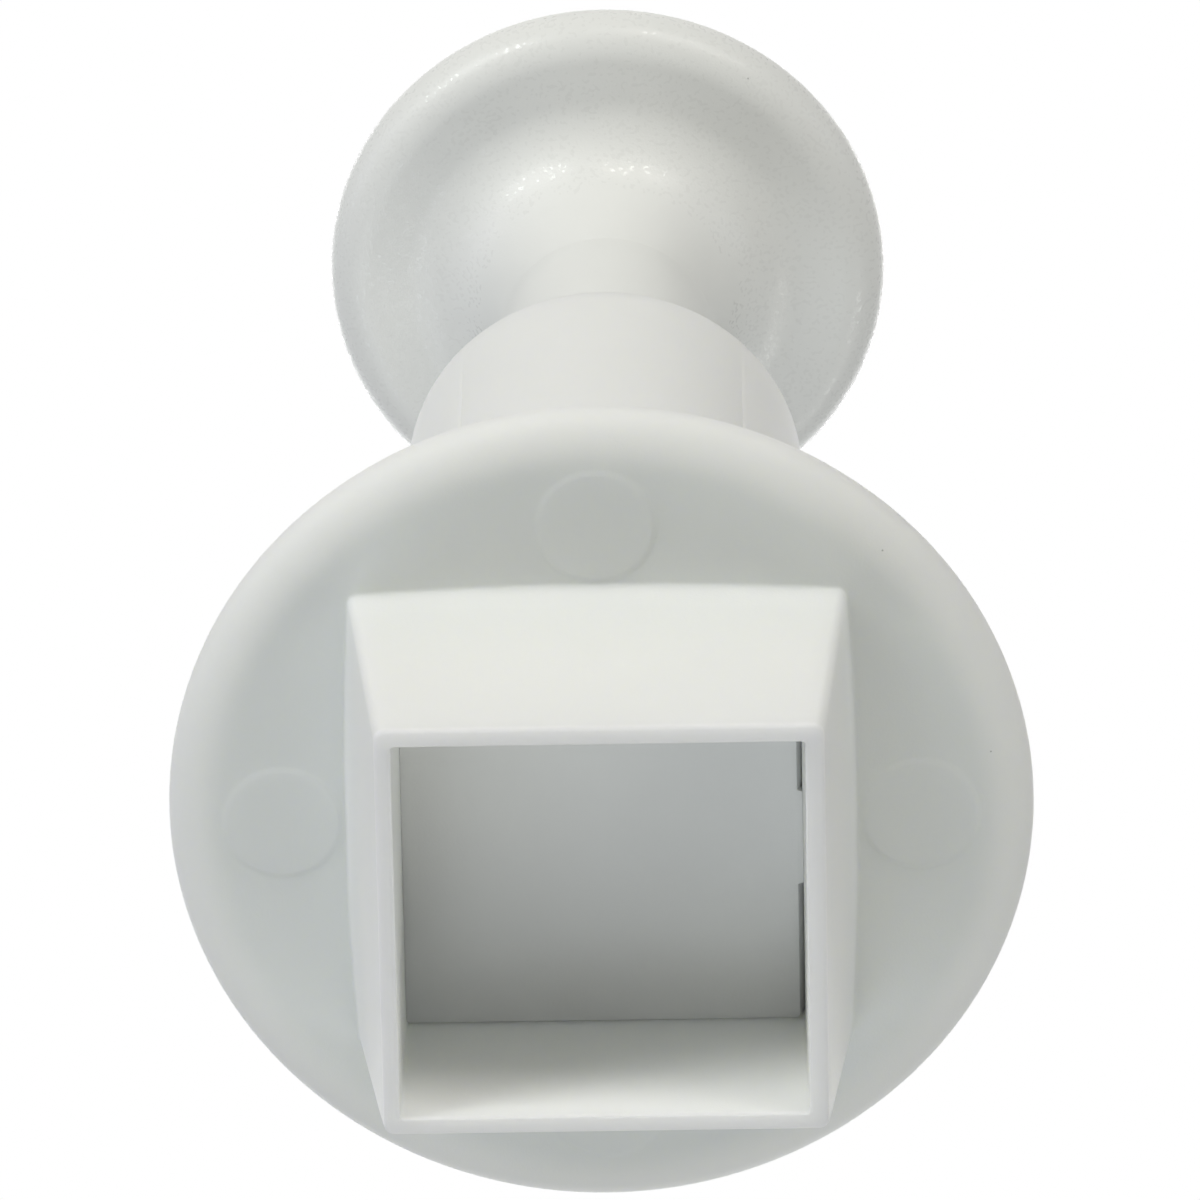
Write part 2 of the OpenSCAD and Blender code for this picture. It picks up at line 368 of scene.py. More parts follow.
# Places round the axis, in degrees from the middle of a side: past a pin mark, at a rib's flank, at the
# side's end
MARK_SPAN = 11.5
RIB_FLANK = (38.5, 39.2)
SIDE_END = 43.7
# Each mould line along the barrel by its place in degrees and the way its soft side lies, the widths of
# both sides in degrees, and the shares of the barrel over which the lines begin and end
MOULD_LINES = ((45.0, 1.0), (135.0, -1.0), (225.0, 1.0), (315.0, -1.0))
CREASE_SOFT = 2.6
CREASE_SHARP = 0.35
CREASE_FADE = (0.3, 0.12)
# Rings of the flange face
FACE_STEPS = 44
# The bead along the pocket's edge: rings by their distance from the wall and height, its waves by their
# number round the edge and their start, and the waves' height as a share of the land's rise
BEAD = (
    (0.0, 0.12 * MM), (0.0, 0.05 * MM), (0.012 * MM, 0.015 * MM), (0.04 * MM, 0.0), (0.075 * MM, 0.012 * MM),
)
BEAD_WAVES = ((31, 0.6), (53, 2.1), (87, 4.4), (139, 1.3))
BEAD_SWING = 0.3
# Where the pocket's wall ends above the bead, and where the land's inner rings lie beyond it
WALL_END = 0.4 * MM
LAND_STEPS = (0.11 * MM, 0.16 * MM)
# A ring on the flange's back outside the barrel's fillet, the mouth chamfer's width as a share of its
# depth, and how far below it the ribs start
BACK_STEP = 0.3 * MM
MOUTH_SPREAD = 1.2
RIB_DROP = 0.02 * MM
# How far the painted shade on the flange's face stays off the rim and starts before the face
FACE_SHADE_RIM = 0.8 * MM
FACE_SHADE_START = 0.1 * MM


def body_turn():
    """Fine places over the pin marks, close pairs at the flanks of the guide ribs."""
    half_side = np.concatenate([
        np.linspace(0.0, MARK_SPAN, 24),
        np.linspace(MARK_SPAN, RIB_FLANK[0], 13)[1:],
        np.linspace(RIB_FLANK[1], SIDE_END, 6),
    ])
    return SquareTurn(half_side, 6)


def raised_marks(ring, flange):
    """Lifts a ring of the flange face where it crosses a mould-pin mark."""
    radius = flange.mark_diameter / 2
    for q in range(QUARTERS):
        centre = np.array([math.cos(q * math.pi / 2), math.sin(q * math.pi / 2)]) * flange.mark_place
        away = np.linalg.norm(ring[:, :2] - centre, axis=1)
        ring[:, 2] -= flange.mark_height * smooth_step(-flange.mark_slope, 0.0, radius - away)
    return ring


def mould_lines(degrees):
    """Share of the crease depth round the barrel: each line has a sharp and a soft side."""
    depth = np.zeros(len(degrees))
    for place, side in MOULD_LINES:
        off = side * (degrees - place)
        depth += np.exp(-np.abs(off) / np.where(off >= 0.0, CREASE_SOFT, CREASE_SHARP))
    return depth


def frame_rings(turn, sizes, roof):
    """From the pocket's roof down its wall, over the cutting edge and up the outside to the foot."""
    half = sizes.cut_width / 2
    inner = sizes.inner_corner
    waves = sum(np.sin(n * turn.radians + start) for n, start in BEAD_WAVES) / len(BEAD_WAVES)
    pocket = sizes.pocket_lean
    rings = [
        turn.square(half - sizes.inner_draft * z / roof, inner, 0.0, z, pocket)
        for z in np.linspace(roof, WALL_END, 7)
    ]
    for out, z in BEAD:
        ring = turn.square(half + out, inner + out, 0.0, z, pocket)
        if z < sizes.land_rise:
            ring[:, 2] += BEAD_SWING * sizes.land_rise * (1.0 + waves)
        rings.append(ring)
    outer = half + sizes.land_width
    rounding = sizes.edge_round
    land = sizes.land_rise
    for out in LAND_STEPS:
        rings.append(turn.square(half + out, inner + out, 0.0, land, pocket))
    for r, z in arc((outer - rounding, land + rounding), (rounding, rounding), -90.0, 0.0, 5):
        rings.append(turn.square(r, sizes.outer_corner - (outer - r), 0.0, z, sizes.lean))
    fillet = sizes.foot_fillet
    low = land + rounding
    high = sizes.height - fillet
    for z in np.linspace(low, high, 9)[1:]:
        up = z / sizes.height
        rings.append(turn.square(
            outer + sizes.draft * up, sizes.outer_corner, sizes.bow * up, z, sizes.lean * (1.0 - up)))
    foot = outer + sizes.draft
    for r, z in arc((foot + fillet, sizes.height - fillet), (fillet, fillet), 180.0, 90.0, 7)[1:]:
        rings.append(turn.square(r, sizes.outer_corner + (r - foot), sizes.bow, z))
    return rings


def flange_rings(turn, sizes, frame_sizes, foot, radius):
    """The flange face from the frame's foot outward, its rounded edge and its back."""
    top = frame_sizes.height + sizes.thickness
    flat = turn.circle(radius - sizes.edge_width, frame_sizes.height)
    steps = np.linspace(0.0, 1.0, FACE_STEPS + 1)[1:]
    rings = [raised_marks(foot + (flat - foot) * step, sizes) for step in steps]
    front = arc(
        (radius - sizes.edge_width, frame_sizes.height + sizes.edge_height),
        (sizes.edge_width, sizes.edge_height), -90.0, 0.0, 16,
    )
    rings += [raised_marks(turn.circle(r, z), sizes) for r, z in front[1:]]
    back = sizes.back_radius
    rings += [turn.circle(r, z) for r, z in arc((radius - back, top - back), (back, back), 0.0, 90.0, 7)]
    return rings


def barrel_rings(turn, sizes, top, flange_top):
    """Outside of the barrel, its lip, and the bore with its ribs down to the hole in the web."""
    fillet = sizes.foot_fillet
    foot = sizes.foot_radius
    rings = [turn.circle(foot + fillet + BACK_STEP, flange_top)]
    corner = arc((foot + fillet, flange_top + fillet), (fillet, fillet), 270.0, 180.0, 7)
    rings += [turn.circle(r, z) for r, z in corner]
    lines = mould_lines(turn.degrees)
    low = flange_top + fillet
    high = top - sizes.lip_radius
    for z in np.linspace(low, high, 15)[1:-1]:
        along = (z - low) / (high - low)
        fade = smooth_step(0.0, CREASE_FADE[0], along) * smooth_step(0.0, CREASE_FADE[1], 1.0 - along)
        radius = foot + (sizes.top_radius - foot) * along
        rings.append(turn.circle(radius - sizes.crease_depth * fade * lines, z))
    lip = arc((sizes.top_radius - sizes.lip_radius, high), (sizes.lip_radius, sizes.lip_radius), 0.0, 90.0, 6)
    rings += [turn.circle(r, z) for r, z in lip]
    bore = sizes.bore_radius
    rib_top = top - sizes.mouth_chamfer
    rings += [turn.circle(bore + MOUTH_SPREAD * sizes.mouth_chamfer, top), turn.circle(bore, rib_top)]
    on_rib = np.abs(turn.degrees % 90.0 - 45.0) <= 45.0 - RIB_FLANK[1]
    ribbed = np.where(on_rib, sizes.guide_radius, bore)
    rings += [turn.circle(ribbed, z) for z in np.linspace(rib_top - RIB_DROP, sizes.web_top, 9)]
    web_low = sizes.web_top - sizes.web_thickness
    for r, z in (
        (sizes.hole_radius, sizes.web_top), (sizes.hole_radius, web_low),
        (sizes.well_radius, web_low), (sizes.well_radius, sizes.roof),
    ):
        rings.append(turn.circle(r, z))
    return rings


class CUTTER_OT_body(bpy.types.Operator):
    """Build the moulded body: cutting frame, flange and barrel"""

    bl_idname = "cutter.body"
    bl_label = "Cutter body"

    def execute(self, context):
        settings = context.scene.cutter
        turn = body_turn()
        rings = frame_rings(turn, settings.frame, settings.barrel.roof)
        rings += flange_rings(turn, settings.flange, settings.frame, rings[-1], BODY_HIGH.x)
        flange_top = settings.frame.height + settings.flange.thickness
        rings += barrel_rings(turn, settings.barrel, BODY_HIGH.z, flange_top)
        piece = closed_mesh("moulded_body", rings, loop=True)
        look, face = settings.finish, settings.frame.height
        # The flange's face inside this radius and between these heights gets painted shade, a darker white
        thin = BODY_HIGH.x - FACE_SHADE_RIM, face - FACE_SHADE_START, face + settings.flange.thickness / 2
        plastic = white_moulding("white_moulding", look, look.white, look.matt, look.glow, thin=thin)
        stand_in(piece, plastic, "cutter", "cutter_body")
        return {"FINISHED"}


# The plunger: plate, stem and knob

# Places round the plate, in degrees: the step beside the tab's flank and the end of a side
TAB_STEP = 0.4
PLATE_SIDE_END = 44.0
# Half the width of the tab's flank, and the share of the plate's half width that the tab's side is beyond
TAB_EDGE = 0.02 * MM
SIDE_SHARE = 0.8
# Rings of the plate's faces in from its edge, the radius at the hub's foot, and the last ring on the axis
FACE_INSET = 1.0 * MM
EDGE_INSET = 0.3 * MM
HUB_BLEND = 0.3 * MM
CORE = 0.5 * MM
# The first ring past an end of the stem
END_STEP = 1.0 * MM
STEM_SEGMENTS = 160
KNOB_SEGMENTS = 224
# The joint line's slope, as shares of its depth: inward and along the axis
GROOVE_SLOPE = (0.4, 0.8)
# Where the knob's flare starts on its ellipse, in degrees
FLARE_START = 178.0
# The thumb dish: its soft edge, the share of that beside the dish's radius, the drop there, and the last
# ring on the axis
DISH_SOFT = 0.35 * MM
DISH_TURN = 0.3
DISH_DROP = 0.006 * MM
DISH_CORE = 0.4 * MM
# Share of the flare's height above which the underside sparkles
SPARKLE_START = 0.7


class CUTTER_OT_plate(bpy.types.Operator):
    """Build the ejector plate with its guide tab and hub"""

    bl_idname = "cutter.plate"
    bl_label = "Ejector plate"

    def execute(self, context):
        settings = context.scene.cutter
        sizes = settings.plunger
        low, high = PLATE_LOW.z, PLATE_LOW.z + sizes.plate_thickness
        closing = settings.frame.inner_draft / settings.barrel.roof
        half = settings.frame.cut_width / 2 - closing * low - sizes.plate_gap
        tab_end = math.degrees(math.atan(sizes.tab_width / 2 / half))
        turn = SquareTurn(np.concatenate([
            np.linspace(0.0, tab_end - TAB_STEP, 6), [tab_end],
            np.linspace(tab_end + TAB_STEP, PLATE_SIDE_END, 9),
        ]), 5)

        def ring(inset, z):
            """One outline of the plate along the pocket's wall, whose side slopes back beside the tab."""
            reach = half - closing * (z - low) - inset
            points = turn.square(reach, settings.frame.inner_corner, 0.0, z, settings.frame.pocket_lean)
            beside = smooth_step(-TAB_EDGE, TAB_EDGE, np.abs(points[:, 1]) - sizes.tab_width / 2)
            back = sizes.tab_height * max(0.0, 1.0 - (z - low) / sizes.tab_slope)
            points[:, 0] -= np.where(points[:, 0] > SIDE_SHARE * half, back * beside, 0.0)
            return points

        bevel = sizes.plate_bevel
        rings = [ring(inset, low) for inset in (half - FACE_INSET, 0.5 * half, FACE_INSET, EDGE_INSET)]
        rings += [ring(bevel - r, z) for r, z in arc((0.0, low + bevel), (bevel, bevel), -90.0, 0.0, 4)]
        rings += [ring(0.0, z) for z in np.linspace(low + bevel, low + sizes.tab_slope, 5)[1:]]
        rings += [ring(bevel - r, z) for r, z in arc((0.0, high - bevel), (bevel, bevel), 0.0, 90.0, 4)]
        rings.append(ring(FACE_INSET, high))
        hub = arc((sizes.hub_radius + HUB_BLEND, high + HUB_BLEND), (HUB_BLEND, HUB_BLEND), 270.0, 180.0, 4)
        hub += arc((sizes.hub_radius - bevel, PLATE_HIGH.z - bevel), (bevel, bevel), 0.0, 90.0, 4)
        hub += [(sizes.rod_radius, PLATE_HIGH.z), (sizes.rod_radius, STEM_LOW.z), (CORE, STEM_LOW.z)]
        rings += [turn.circle(r, z) for r, z in hub]
        piece = closed_mesh("ejector_plate_face", rings)
        look = settings.finish
        plastic = white_moulding("plate_moulding", look, look.plate_white, look.satin)
        stand_in(piece, plastic, "plunger", "ejector_plate")
        return {"FINISHED"}


class CUTTER_OT_stem(bpy.types.Operator):
    """Build the stem: the rod, the shoulder and the smooth neck"""

    bl_idname = "cutter.stem"
    bl_label = "Stem"

    def execute(self, context):
        settings = context.scene.cutter
        sizes = settings.plunger
        neck, top = STEM_HIGH.x, STEM_HIGH.z
        rod, chamfer, groove = sizes.rod_radius, sizes.small_chamfer, sizes.joint_groove
        floor = sizes.shoulder + sizes.stem_floor
        profile = [(0.5 * rod, STEM_LOW.z), (rod - chamfer, STEM_LOW.z), (rod, STEM_LOW.z + chamfer)]
        profile += [(rod, z) for z in np.linspace(STEM_LOW.z + END_STEP, sizes.shoulder, 8)]
        profile += [(neck - chamfer, sizes.shoulder), (neck, sizes.shoulder + chamfer)]
        profile += [(neck, z) for z in np.linspace(sizes.shoulder + END_STEP, top - 2.0 * groove, 12)]
        inward, along = (part * groove for part in GROOVE_SLOPE)
        profile += [(neck - inward, top - along), (neck - groove, top)]
        profile += [(sizes.stem_bore, top), (sizes.stem_bore, floor), (0.5 * sizes.stem_bore, floor)]
        piece = turned_piece("plunger_stem", profile, STEM_SEGMENTS)
        look = settings.finish
        plastic = white_moulding("stem_moulding", look, look.white, look.satin)
        stand_in(piece, plastic, "plunger", "stem")
        return {"FINISHED"}


class CUTTER_OT_knob(bpy.types.Operator):
    """Build the trumpet-shaped push knob with its thumb dish"""

    bl_idname = "cutter.knob"
    bl_label = "Push knob"

    def execute(self, context):
        settings = context.scene.cutter
        sizes = settings.knob
        neck, joint = STEM_HIGH.x, STEM_HIGH.z
        groove = settings.plunger.joint_groove
        bore = settings.plunger.stem_bore
        radius, top = KNOB_HIGH.x, KNOB_HIGH.z
        rim, rim_top = sizes.rim_radius, sizes.rim_top_radius
        flare = radius - rim - sizes.under_width - neck
        rim_middle = joint + sizes.flare_height + rim
        profile = [(0.5 * bore, KNOB_LOW.z), (bore, KNOB_LOW.z), (bore, joint), (neck - groove, joint)]
        inward, along = (part * groove for part in GROOVE_SLOPE)
        profile.append((neck - inward, joint + along))
        profile += arc((neck + flare, joint), (flare, sizes.flare_height), FLARE_START, 90.0, 32)
        profile += arc((radius - rim, rim_middle), (rim, rim), -90.0, 0.0, 16)
        profile += arc((radius - rim_top, rim_middle), (rim_top, top - rim_middle), 0.0, 90.0, 12)[1:]
        ball = (sizes.dish_radius**2 + sizes.dish_depth**2) / (2.0 * sizes.dish_depth)
        turn = DISH_TURN * DISH_SOFT
        profile += [(sizes.dish_radius + DISH_SOFT, top), (sizes.dish_radius + turn, top - DISH_DROP)]
        for r in np.linspace(sizes.dish_radius - turn, DISH_CORE, 16):
            profile.append((r, top - sizes.dish_depth + ball - math.sqrt(ball**2 - r**2)))
        piece = turned_piece("push_knob", profile, KNOB_SEGMENTS)
        look = settings.finish
        underside = joint + SPARKLE_START * sizes.flare_height, rim_middle
        plastic = white_moulding("knob_moulding", look, look.white, look.satin, sparkling=underside)
        stand_in(piece, plastic, "plunger", "knob")
        return {"FINISHED"}


# The return spring

WIRE_SIDES = 14
TURN_RINGS = 40


class CUTTER_OT_spring(bpy.types.Operator):
    """Build the return spring inside the barrel"""

    bl_idname = "cutter.spring"
    bl_label = "Return spring"

    def execute(self, context):
        settings = context.scene.cutter
        sizes = settings.spring
        line = coil_line(sizes)
        ahead = np.concatenate([line[1:], line[-1:]])
        behind = np.concatenate([line[:1], line[:-1]])
        along = ahead - behind
        along /= np.linalg.norm(along, axis=1, keepdims=True)
        side = np.cross(along, [0.0, 0.0, 1.0])
        side /= np.linalg.norm(side, axis=1, keepdims=True)
        up = np.cross(side, along)
        around = np.linspace(0.0, 2.0 * math.pi, WIRE_SIDES, endpoint=False)
        outline = np.stack([np.cos(around), np.sin(around)], axis=1) * sizes.wire / 2
        rings = [p + outline[:, :1] * s + outline[:, 1:] * u for p, s, u in zip(line, side, up)]
        piece = closed_mesh("return_spring_wire", rings)
        stand_in(piece, drawn_wire(settings.finish), "cutter", "return_spring")
        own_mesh(piece)
        return {"FINISHED"}


def coil_line(sizes):
    """Centre line of the wire: a close turn at each end, open turns between and short straight tips."""
    low = SPRING_LOW.z + sizes.wire / 2
    high = SPRING_HIGH.z - sizes.wire / 2
    pitch = (high - low - 2.0 * sizes.end_pitch) / sizes.turns
    turn = np.linspace(0.0, sizes.turns + 2.0, (sizes.turns + 2) * TURN_RINGS + 1)
    bends = (0.0, 1.0, sizes.turns + 1.0, sizes.turns + 2.0)
    heights = (low, low + sizes.end_pitch, low + sizes.end_pitch + pitch * sizes.turns, high)
    z = np.interp(turn, bends, heights)
    radius = sizes.coil_radius
    coil = np.stack([radius * np.cos(2 * math.pi * turn), radius * np.sin(2 * math.pi * turn), z], axis=1)
    return np.concatenate([[[radius, -sizes.wire, low]], coil, [[radius, sizes.wire, high]]])


# Materials


class Value:
    """A shader socket that takes part in arithmetic: each operator adds a Math node."""

    def __init__(self, finish, socket):
        self.finish = finish
        self.socket = socket

    def _math(self, operation, first, second):
        return self.finish.node("ShaderNodeMath", {"operation": operation}, {0: first, 1: second})

    def __add__(self, other):
        return self._math("ADD", self, other)

    def __radd__(self, other):
        return self._math("ADD", other, self)

    def __sub__(self, other):
        return self._math("SUBTRACT", self, other)

    def __rsub__(self, other):
        return self._math("SUBTRACT", other, self)

    def __mul__(self, other):
        return self._math("MULTIPLY", self, other)

    def __rmul__(self, other):
        return self._math("MULTIPLY", other, self)

    def __gt__(self, other):
        return self._math("GREATER_THAN", self, other)

    def __lt__(self, other):
        return self._math("LESS_THAN", self, other)

    def at_least(self, other):
        """The larger of the two."""
        return self._math("MAXIMUM", self, other)


class Finish:
    """The node tree of one material or world."""

    def __init__(self, owner):
        owner.use_nodes = True
        self.tree = owner.node_tree
        self.tree.nodes.clear()

    def node(self, kind, settings=None, sockets=None, output=0):
        """Adds a node, makes its settings, then fills its sockets with values or links.

        Returns one of its outputs, if it has any.
        """
        made = self.tree.nodes.new(kind)
        for name, value in (settings or {}).items():
            setattr(made, name, value)
        for name, value in (sockets or {}).items():
            if isinstance(value, Value):
                self.tree.links.new(value.socket, made.inputs[name])
            else:
                made.inputs[name].default_value = value
        return Value(self, made.outputs[output]) if made.outputs else None

    def places(self):
        """The piece's own coordinates, in metres."""
        return self.node("ShaderNodeTexCoord", output="Object")

    def stretched(self, places, factors):
        """The places times one factor for each axis."""
        return self.node("ShaderNodeVectorMath", {"operation": "MULTIPLY"}, {0: places, 1: factors})

    def distance(self, places):
        """How far the places lie from the piece's origin."""
        return self.node("ShaderNodeVectorMath", {"operation": "LENGTH"}, {0: places}, output="Value")

    def noise(self, places, size, detail=2.0, roughness=0.5):
        """Soft noise from 0 to 1 whose features are about one size across."""
        return self.node(
            "ShaderNodeTexNoise", {},
            {"Vector": places, "Scale": 1.0 / size, "Detail": detail, "Roughness": roughness},
        )

    def mixed(self, factor, first, second):
        """One colour turned into another by a factor."""
        sockets = {0: factor, 6: opaque(first), 7: opaque(second)}
        return self.node("ShaderNodeMix", {"data_type": "RGBA"}, sockets, output=2)

    def eased(self, value, low, high):
        """0 below low, 1 above high and a smooth rise between them."""
        return self.node(
            "ShaderNodeMapRange", {"interpolation_type": "SMOOTHSTEP"},
            {"Value": value, "From Min": low, "From Max": high},
        )

    def bumps(self, height, distance):
        """A normal that follows a height, of which 1 stands out by a distance."""
        return self.node("ShaderNodeBump", {}, {"Strength": 1.0, "Distance": distance, "Height": height})

    def either(self, factor, first, second):
        """One shader turned into another by a factor."""
        return self.node("ShaderNodeMixShader", {}, {0: factor, 1: first, 2: second})

    def surface(self, shader, kind="ShaderNodeOutputMaterial"):
        """What the material or the world shows."""
        self.node(kind, {}, {"Surface": shader})


def opaque(tint):
    """A colour with its alpha, or a link as it is."""
    return tint if isinstance(tint, Value) else (*tint, 1.0)


CLOUD_SIZE = 5.0 * MM
RIPPLE_SIZE = 1.6 * MM
RIPPLE_HEIGHT = 1.5
# How the roughness starts below its mean, grows in the pits and falls in the clouds
ROUGH_START = 0.05
ROUGH_PITS = 0.12
ROUGH_CLOUDS = 0.04
# How the ripples shift the glossy spots' level and their lower end
SPOT_DRIFT = 0.3
SPOT_END = 1.0 * MM
# One dust speck at most in each cell: its radius as a share of the cell, the level above which there is
# one, and its strength
SPECK_CELL = 2.1 * MM
SPECK_RADIUS = 0.03
SPECK_LEVEL = 0.8
SPECK_STRENGTH = 0.5
# Heights between which the painted light on the cutting edge ends
EDGE_LIGHT_HEIGHTS = (0.1 * MM, 0.35 * MM)
# How far the painted shade on the flange's face fades before the face and inside its radius
FACE_SHADE_FADE = 6.0 * MM
RIM_FADE = 1.5 * MM
PLASTIC_IOR = 1.49
GLOW_TINT = (1.0, 1.0, 0.9)


def white_moulding(name, look, tint, mean_rough, glow=0.0, sparkling=None, thin=None):
    """White plastic with a fine mould texture, flow clouds and specks of dust.

    It has small glossy spots between the two heights that sparkling gives. Thin gives the radius and the
    heights of a thin disc's face, which gets painted shade, on a piece whose edge at height 0 gets painted
    light.
    """
    material = bpy.data.materials.new(name)
    finish = Finish(material)
    places = finish.places()
    clouds = finish.noise(places, CLOUD_SIZE, detail=3.0)
    pitted = finish.noise(places, look.grain, detail=3.0, roughness=0.65)
    ripple = finish.noise(places, RIPPLE_SIZE, detail=1.0)
    height = finish.node("ShaderNodeSeparateXYZ", {}, {0: places}, output="Z")
    roughness = mean_rough - ROUGH_START + ROUGH_PITS * pitted - ROUGH_CLOUDS * clouds
    if sparkling is not None:
        low, high = sparkling
        spots = finish.noise(places, look.spark_size, detail=0.0) + SPOT_DRIFT * ripple > look.spark_limit
        coarse = (height + SPOT_END * ripple > low) * (height < high)
        roughness = roughness - look.sparkle * spots * coarse
    cells = {"Vector": places, "Scale": 1.0 / SPECK_CELL}
    near = finish.node("ShaderNodeTexVoronoi", {}, cells, output="Distance")
    chance = finish.node("ShaderNodeTexVoronoi", {}, cells, output="Color")
    specks = (near < SPECK_RADIUS) * (chance > SPECK_LEVEL)
    body = finish.mixed(clouds, tint, look.cloud)
    if thin is not None:
        # Painted shade: the flange's face is turned to a darker white
        body = finish.mixed(face_shade_mask(finish, places, height, *thin), body, look.painted_face_shade)
        # Painted light: the cutting edge near height 0 is turned to a paler white
        body = finish.mixed(1.0 - finish.eased(height, *EDGE_LIGHT_HEIGHTS), body, look.painted_edge_light)
    shader = finish.node(
        "ShaderNodeBsdfPrincipled", {},
        {
            "Base Color": finish.mixed(SPECK_STRENGTH * specks, body, look.speck),
            "Roughness": roughness,
            "Normal": finish.bumps(pitted + RIPPLE_HEIGHT * ripple, look.grain_height),
            "IOR": PLASTIC_IOR,
            "Subsurface Weight": glow,
            "Subsurface Radius": GLOW_TINT,
            "Subsurface Scale": look.glow_depth,
        },
    )
    finish.surface(shader)
    return material


def face_shade_mask(finish, places, height, radius, low, high):
    """Where the flange's painted shade goes: 1 on the face of a disc between two heights, with soft ends
    below it and at its radius.
    """
    from_axis = finish.distance(finish.stretched(places, (1.0, 1.0, 0.0)))
    above = finish.eased(height, low - FACE_SHADE_FADE, low)
    inside = 1.0 - finish.eased(from_axis, radius - RIM_FADE, radius)
    return above * inside * (height < high)


# The wire's fine lines, which run round the coil, and its tarnish
LINE_STRETCH = (0.12, 0.12, 1.0)
LINE_SIZE = 0.05 * MM
LINE_HEIGHT = 0.002 * MM
TARNISH_SIZE = 2.2 * MM
TARNISH_SHADE = 0.8
WIRE_ROUGH = 0.24
LINE_ROUGH = 0.16


def drawn_wire(look):
    """Bright drawn steel: fine lines along the wire and a faint tarnish."""
    material = bpy.data.materials.new("drawn_wire")
    finish = Finish(material)
    places = finish.places()
    lines = finish.noise(finish.stretched(places, LINE_STRETCH), LINE_SIZE, detail=3.0, roughness=0.7)
    tarnish = finish.noise(places, TARNISH_SIZE, detail=3.0)
    dark = tuple(TARNISH_SHADE * c for c in look.steel)
    shader = finish.node(
        "ShaderNodeBsdfPrincipled", {},
        {
            "Base Color": finish.mixed(tarnish, look.steel, dark),
            "Metallic": 1.0,
            "Roughness": WIRE_ROUGH + LINE_ROUGH * lines,
            "Normal": finish.bumps(lines, LINE_HEIGHT),
        },
    )
    finish.surface(shader)
    return material


FLOOR_SIZE = 4.0
# How far from the cutter the floor fades into the white room
FLOOR_FADE = (0.25, 0.9)
# The shade under the cutter: how near it has to be, and the share of the floor's colour that is left
SHADE_REACH = 35.0 * MM
SHADE_DEPTH = 0.35


def pale_floor(tint, lift):
    """A matt floor, paler where it is seen, shaded under the cutter and lost in the white room far off.

    From below it is clear.
    """
    material = bpy.data.materials.new("pale_floor")
    finish = Finish(material)
    open_sky = finish.node("ShaderNodeAmbientOcclusion", {}, {"Distance": SHADE_REACH}, output="AO")
    tints = opaque(SHADE_DEPTH * c for c in tint), opaque(tint)
    matt = [finish.node("ShaderNodeBsdfDiffuse", {}, {"Color": c}) for c in tints]
    lifted = [finish.node("ShaderNodeEmission", {}, {"Color": c, "Strength": lift}) for c in tints]
    plain = finish.either(open_sky, *matt)
    paler = finish.node("ShaderNodeAddShader", {}, {0: plain, 1: finish.either(open_sky, *lifted)})
    seen = finish.node("ShaderNodeLightPath", output="Is Camera Ray")
    below = finish.node("ShaderNodeNewGeometry", output="Backfacing")
    far = finish.eased(finish.distance(finish.places()), *FLOOR_FADE)
    clear = finish.node("ShaderNodeBsdfTransparent")
    finish.surface(finish.either(below.at_least(far), finish.either(seen, plain, paler), clear))
    return material


# The stage

WHITE = (1.0, 1.0, 1.0)
# Each lamp by the name of its power setting: direction from the cutter, distance, width and height in
# metres, and colour
LAMPS = {
    "key_left": ((-0.625, -0.745, -0.235), 1.2, 0.8, 0.26, (0.981, 1.0, 0.972)),
    "key_right": ((0.337, -0.926, -0.17), 1.2, 0.9, 0.26, (1.0, 0.976, 0.916)),
    "side_left": ((-0.979, -0.14, 0.0), 1.2, 0.6, 0.6, (0.844, 0.841, 1.0)),
    "side_right": ((0.969, -0.203, 0.0), 1.2, 0.6, 0.6, (0.868, 0.936, 1.0)),
    "table_left": ((-0.46, 0.531, -0.712), 1.0, 0.66, 0.44, (0.896, 0.942, 1.0)),
    "table_right": ((0.545, 0.623, -0.56), 1.0, 0.66, 0.44, (1.0, 0.999, 0.944)),
    "front": ((-0.2, 0.3, -0.93), 1.0, 0.4, 0.4, (0.886, 0.949, 1.0)),
    "overhead": ((0.0, 0.6, 0.8), 0.8, 1.0, 1.0, WHITE),
}
SENSOR_WIDTH = 36.0


def area_lamp(name, direction, distance, width, height, watts, tint):
    """A soft lamp that shines at the middle of the moulded body and isn't seen itself."""
    data = bpy.data.lights.new(name, "AREA")
    data.shape = "RECTANGLE"
    data.size, data.size_y = width, height
    data.energy = watts
    data.color = tint
    lamp = bpy.data.objects.new(name, data)
    toward = Vector(direction).normalized()
    lamp.location = toward * distance + Vector((0.0, 0.0, BODY_HIGH.z / 2))
    lamp.rotation_mode = "QUATERNION"
    lamp.rotation_quaternion = toward.to_track_quat("Z", "Y")
    lamp.visible_camera = False
    bpy.context.scene.collection.objects.link(lamp)


def photo_camera(settings):
    """The camera below the cutting edge, with the knob far behind it."""
    side = Vector((math.sin(settings.swing), -math.cos(settings.swing), 0.0))
    toward = math.sin(settings.tilt) * side + math.cos(settings.tilt) * Vector((0.0, 0.0, -1.0))
    level = Vector((math.cos(settings.swing), math.sin(settings.swing), 0.0))
    raised = toward.cross(level)
    right = math.cos(settings.roll) * level + math.sin(settings.roll) * raised
    up = math.cos(settings.roll) * raised - math.sin(settings.roll) * level
    data = bpy.data.cameras.new("photo_camera")
    data.lens = settings.lens
    data.sensor_width = SENSOR_WIDTH
    camera = bpy.data.objects.new("photo_camera", data)
    turn = Matrix((right, up, toward)).transposed().to_4x4()
    camera.matrix_world = Matrix.Translation(toward * settings.distance + up * settings.aim) @ turn
    bpy.context.scene.collection.objects.link(camera)
    bpy.context.scene.camera = camera


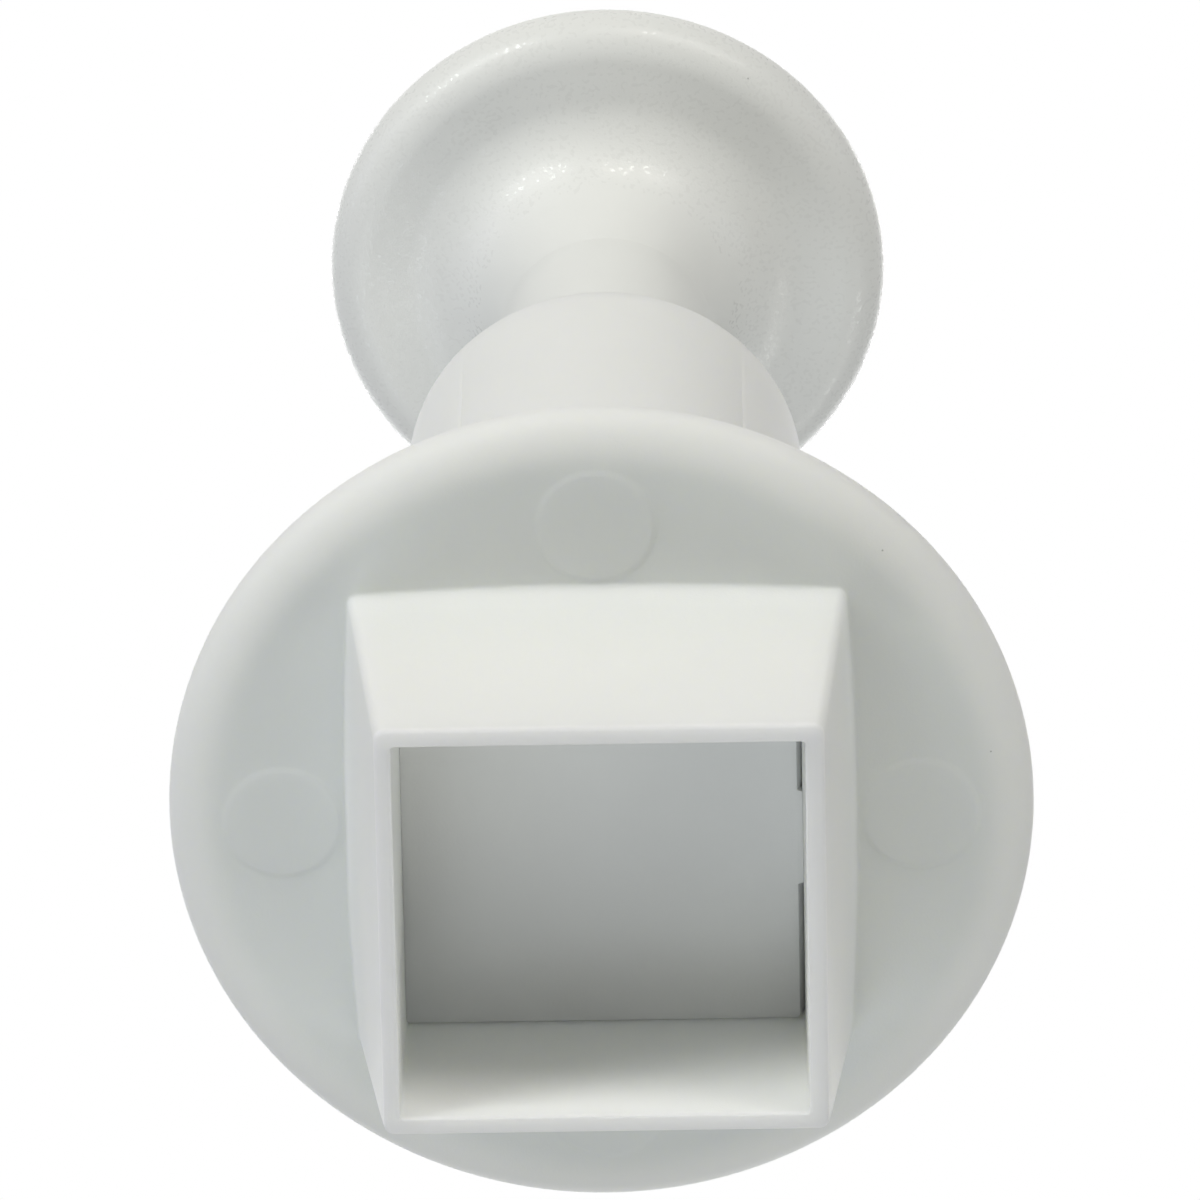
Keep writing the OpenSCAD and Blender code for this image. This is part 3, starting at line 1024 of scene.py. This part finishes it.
def white_world(ambient):
    """White where it is seen, mirrored or seen through, and an even dim light for the rest."""
    world = bpy.data.worlds.new("white_room")
    finish = Finish(world)
    camera, mirror, through = (
        finish.node("ShaderNodeLightPath", output=ray)
        for ray in ("Is Camera Ray", "Is Glossy Ray", "Is Transmission Ray")
    )
    dim, bright = (
        finish.node("ShaderNodeBackground", {}, {"Color": opaque(WHITE), "Strength": level})
        for level in (ambient, 1.0)
    )
    direct = camera.at_least(mirror).at_least(through)
    finish.surface(finish.either(direct, dim, bright), "ShaderNodeOutputWorld")
    bpy.context.scene.world = world


class CUTTER_OT_stage(bpy.types.Operator):
    """Set up the camera, the lamps, the white room and the floor"""

    bl_idname = "cutter.stage"
    bl_label = "Stage"

    def execute(self, context):
        settings = context.scene.cutter.stage
        context.scene.view_settings.view_transform = "Standard"
        photo_camera(settings)
        white_world(settings.ambient)
        for name, (direction, distance, width, height, tint) in LAMPS.items():
            area_lamp(name, direction, distance, width, height, getattr(settings, name), tint)
        bpy.ops.mesh.primitive_plane_add(size=FLOOR_SIZE)
        floor = context.object
        floor.name = "pale_floor"
        floor.data.materials.append(pale_floor(settings.floor, settings.floor_lift))
        floor.visible_diffuse = floor.visible_glossy = floor.visible_transmission = False
        floor.visible_shadow = False
        return {"FINISHED"}


# The sidebar and the run

OPERATORS = (
    CUTTER_OT_stage, CUTTER_OT_body, CUTTER_OT_plate, CUTTER_OT_stem, CUTTER_OT_knob, CUTTER_OT_spring,
)


class CUTTER_PT_sidebar(bpy.types.Panel):
    """Lists the cutter's pieces and its stage"""

    bl_idname = "CUTTER_PT_sidebar"
    bl_label = "Square plunger cutter"
    bl_space_type = "VIEW_3D"
    bl_region_type = "UI"
    bl_category = "Cutter"

    def draw(self, context):
        for operator in OPERATORS:
            self.layout.operator(operator.bl_idname)


CLASSES = (
    FrameSizes, FlangeSizes, BarrelSizes, PlungerSizes, KnobSizes, SpringSizes, Finishes, StageSettings,
    CutterSettings, *OPERATORS, CUTTER_PT_sidebar,
)


def register():
    """Adds the classes and the scene's settings."""
    for made in CLASSES:
        bpy.utils.register_class(made)
    bpy.types.Scene.cutter = PointerProperty(
        type=CutterSettings, name="Cutter", description="Square plunger cutter",
    )


def unregister():
    """Takes them away again."""
    del bpy.types.Scene.cutter
    for made in reversed(CLASSES):
        bpy.utils.unregister_class(made)


def main():
    """Builds all pieces and the stage."""
    register()
    bpy.ops.cutter.stage()
    bpy.ops.cutter.body()
    bpy.ops.cutter.plate()
    bpy.ops.cutter.stem()
    bpy.ops.cutter.knob()
    bpy.ops.cutter.spring()


if __name__ == "__main__":
    main()
